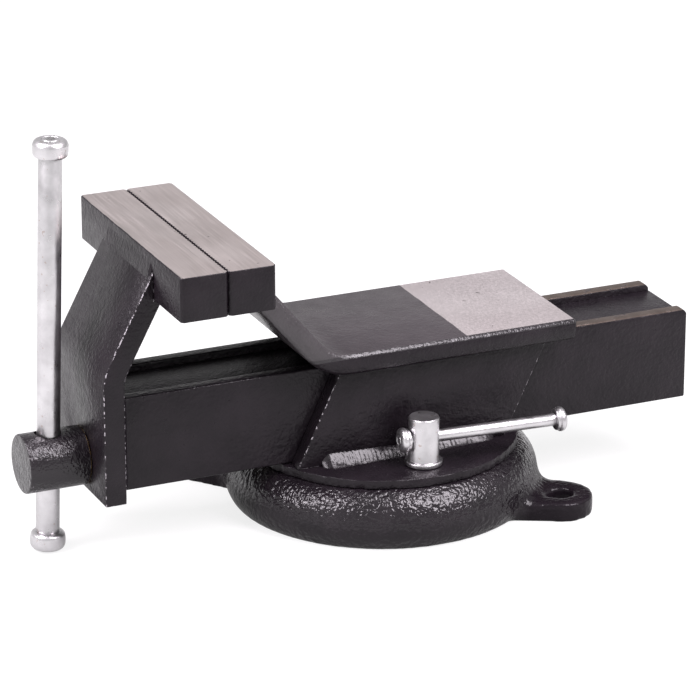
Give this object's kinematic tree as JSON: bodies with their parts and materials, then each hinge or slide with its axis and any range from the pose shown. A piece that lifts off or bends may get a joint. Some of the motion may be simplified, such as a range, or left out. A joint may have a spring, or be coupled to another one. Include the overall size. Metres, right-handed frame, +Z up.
{
  "type": "bench vise",
  "caption": "Welded steel bench vise with wide jaws, a small anvil, a box slide driven by a screw, and a swivel base locked by two bolts.",
  "frame": {"origin": "swivel axis at the underside of the base, centre of the circle through the bench bolt holes", "axes": "+X to the rear along the slide, away from the handle; +Y along the jaws; +Z up along the swivel axis"},
  "size_m": [0.393, 0.1774, 0.2341],
  "materials": {
    "black_paint": "semi-gloss black stoving paint with a fine orange-peel texture",
    "cast_black": "glossy black paint over a coarse cast surface",
    "jaw_steel": "black paint with the top face ground bare",
    "anvil_steel": "black paint with the rear pad ground bare",
    "machined_steel": "turned and lightly oiled",
    "zinc": "bright zinc plating"
  },
  "bodies": {
    "base": {"swivel_base": "cast_black"},
    "turret": {"swivel_plate": "black_paint", "pivot_pin": "machined_steel", "side_plate_near": "black_paint", "side_plate_far": "black_paint", "side_weld_near": "black_paint", "side_weld_far": "black_paint", "anvil_plate": "anvil_steel", "fixed_jaw": "jaw_steel", "fixed_jaw_weld": "black_paint", "main_nut": "machined_steel", "nut_screws": "zinc"},
    "clamp_near": {"clamp_nut_near": "machined_steel"},
    "clamp_far": {"clamp_nut_far": "machined_steel"},
    "lock_near": {"lock_bolt_near": "zinc"},
    "lock_far": {"lock_bolt_far": "zinc"},
    "lock_handle_near": {"lock_bar_near": "zinc", "lock_caps_near": "zinc"},
    "lock_handle_far": {"lock_bar_far": "zinc", "lock_caps_far": "zinc"},
    "slide": {"slide_wall_near": "black_paint", "slide_wall_far": "black_paint", "slide_deck": "black_paint", "front_plate": "black_paint", "front_weld_near": "black_paint", "front_weld_far": "black_paint", "moving_jaw": "jaw_steel", "moving_jaw_weld": "black_paint"},
    "spindle": {"spindle_head": "black_paint", "spindle_screw": "machined_steel", "thrust_washer": "machined_steel", "retaining_collar": "machined_steel", "collar_pin": "zinc"},
    "handle": {"handle_bar": "zinc", "upper_knob": "zinc", "lower_knob": "zinc"}
  },
  "joints": [
    {"name": "swivel", "type": "hinge", "parent": "base", "child": "turret", "pos_m": [0, 0, 0.0326], "axis": [0, 0, 1], "continuous": true},
    {"name": "jaw_slide", "type": "slide", "parent": "turret", "child": "slide", "axis": [-1, 0, 0], "range_m": [0, 0.15]},
    {"name": "spindle_turn", "type": "hinge", "parent": "slide", "child": "spindle", "pos_m": [-0.179, 0, 0.052], "axis": [-1, 0, 0], "range_deg": [0, 10800]},
    {"name": "handle_slide", "type": "slide", "parent": "spindle", "child": "handle", "axis": [0.0349, 0, 0.9994], "range_m": [-0.1545, 0.024]},
    {"name": "lock_turn_near", "type": "hinge", "parent": "turret", "child": "lock_near", "pos_m": [0, -0.0565, 0.0377], "axis": [0, 0, 1], "range_deg": [-180, 0]},
    {"name": "lock_turn_far", "type": "hinge", "parent": "turret", "child": "lock_far", "pos_m": [0, 0.0565, 0.0377], "axis": [0, 0, 1], "range_deg": [-180, 0]},
    {"name": "clamp_lift_near", "type": "slide", "parent": "turret", "child": "clamp_near", "axis": [0, 0, 1], "range_m": [0, 0.0009]},
    {"name": "clamp_lift_far", "type": "slide", "parent": "turret", "child": "clamp_far", "axis": [0, 0, 1], "range_m": [0, 0.0009]},
    {"name": "lock_bar_slide_near", "type": "slide", "parent": "lock_near", "child": "lock_handle_near", "axis": [0.9976, -0.0698, 0], "range_m": [-0.069, 0]},
    {"name": "lock_bar_slide_far", "type": "slide", "parent": "lock_far", "child": "lock_handle_far", "axis": [-0.9976, 0.0698, 0], "range_m": [-0.069, 0]}
  ],
  "couplings": [
    {"joint": "jaw_slide", "follows": "spindle_turn", "m_per_rad": 0.00079577},
    {"joint": "clamp_lift_near", "follows": "lock_turn_near", "m_per_rad": -0.00027852},
    {"joint": "clamp_lift_far", "follows": "lock_turn_far", "m_per_rad": -0.00027852}
  ]
}
